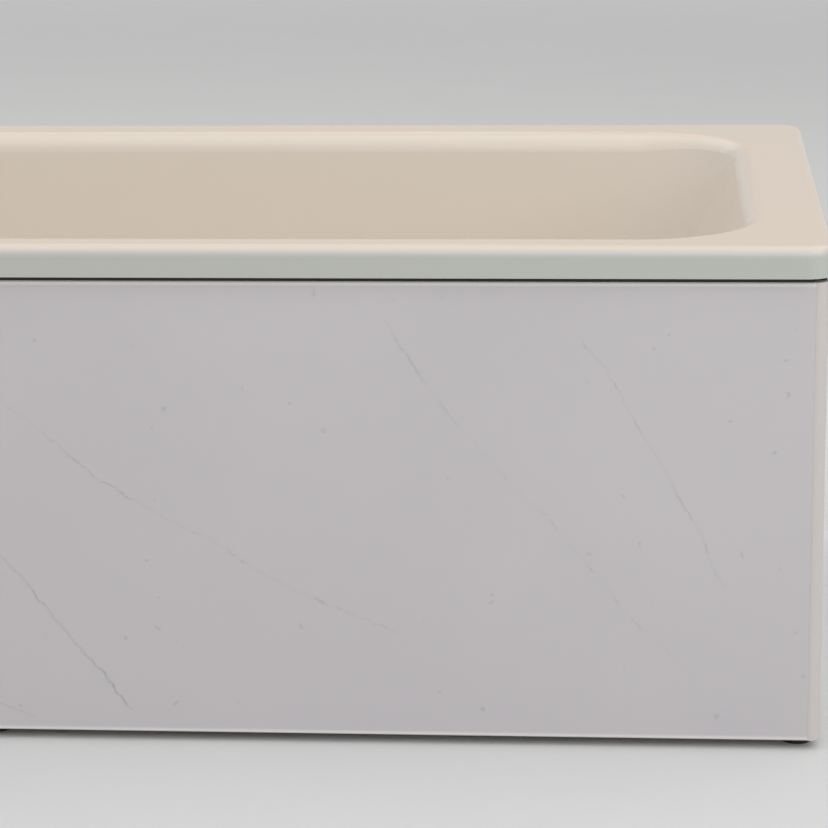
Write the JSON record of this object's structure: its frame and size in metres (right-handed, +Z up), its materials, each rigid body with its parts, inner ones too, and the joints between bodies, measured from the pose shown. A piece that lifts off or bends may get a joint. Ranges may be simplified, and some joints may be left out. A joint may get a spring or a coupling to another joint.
{
  "type": "bathtub",
  "caption": "Rectangular enamelled steel bathtub with a sloped head end, marble-effect panels, pop-up waste with rotary overflow knob, trap, leg frames and panel frame.",
  "frame": {"origin": "on the floor under the middle of the tub's outline", "axes": "+X along the tub to the sloped head end, -Y the panelled front, +Y the wall side, +Z up"},
  "size_m": [1.7, 0.75, 0.515],
  "materials": {
    "enamel": "gloss",
    "bitumen": "matt",
    "galvanised": "satin",
    "rubber": "matt",
    "black_plastic": "matt",
    "marble_board": "satin",
    "trim_plastic": "satin",
    "board_strip": "matt",
    "aluminium": "satin",
    "chrome": "gloss",
    "brass": "satin",
    "white_plastic": "satin"
  },
  "bodies": {
    "tub": {"tub_shell": "enamel", "deadening_mats": "bitumen", "leg_frame_foot": "galvanised", "leg_frame_head": "galvanised", "saddle_pads": "rubber", "foot_rods": "galvanised", "foot_nuts": "galvanised", "foot_pads": "black_plastic", "wall_bracket_foot": "galvanised", "wall_bracket_head": "galvanised", "magnet_catches": "black_plastic", "panel_ledges": "galvanised", "corner_trim_right": "trim_plastic", "end_panel_right": "marble_board", "front_post_right": "aluminium", "back_post_right": "aluminium", "end_rail_low_right": "aluminium", "end_rail_high_right": "aluminium", "corner_trim_left": "trim_plastic", "end_panel_left": "marble_board", "front_post_left": "aluminium", "back_post_left": "aluminium", "end_rail_low_left": "aluminium", "end_rail_high_left": "aluminium", "front_rail_low": "aluminium", "front_rail_high": "aluminium", "centre_post": "aluminium", "frame_feet": "black_plastic", "rim_pads": "rubber", "panel_screws": "galvanised", "waste_flange": "chrome", "flange_seal": "rubber", "waste_gasket": "rubber", "waste_body": "white_plastic", "trap_nuts": "white_plastic", "trap_bend": "white_plastic", "trap_cleaning_cap": "white_plastic", "trap_outlet": "white_plastic", "overflow_cover": "chrome", "overflow_gasket": "rubber", "overflow_elbow": "white_plastic", "overflow_screws": "galvanised", "overflow_hose": "white_plastic", "hose_nuts": "white_plastic", "bowden_cable": "black_plastic", "cable_clips": "black_plastic", "earth_tag": "galvanised", "earth_screw": "galvanised", "end_beads": "rubber"},
    "front_panel": {"front_panel": "marble_board", "front_bead": "rubber", "front_stiffeners": "board_strip", "catch_plates": "galvanised"},
    "control_knob": {"overflow_knob": "chrome", "knob_spindle": "brass"},
    "plug": {"plug_cap": "chrome", "plug_seal": "rubber", "plug_stem": "white_plastic"},
    "lift_lever": {"lift_lever": "white_plastic"}
  },
  "joints": [
    {"name": "knob_turn", "type": "hinge", "parent": "tub", "child": "control_knob", "pos_m": [-0.75766, -0.011, 0.445], "axis": [0.9848, 0, 0.1736], "range_deg": [0, 85]},
    {"name": "plug_lift", "type": "slide", "parent": "tub", "child": "plug", "axis": [0, 0, 1], "range_m": [0, 0.01]},
    {"name": "lever_swing", "type": "hinge", "parent": "tub", "child": "lift_lever", "pos_m": [-0.61592, -0.011, 0.0975], "axis": [0, -1, 0], "range_deg": [0, 30]},
    {"name": "panel_pull", "type": "slide", "parent": "tub", "child": "front_panel", "axis": [0, -1, 0], "range_m": [0, 0.06]}
  ],
  "couplings": [
    {"joint": "knob_turn", "follows": "plug_lift", "rad_per_m": 148.35},
    {"joint": "lever_swing", "follows": "plug_lift", "rad_per_m": 52.36}
  ]
}
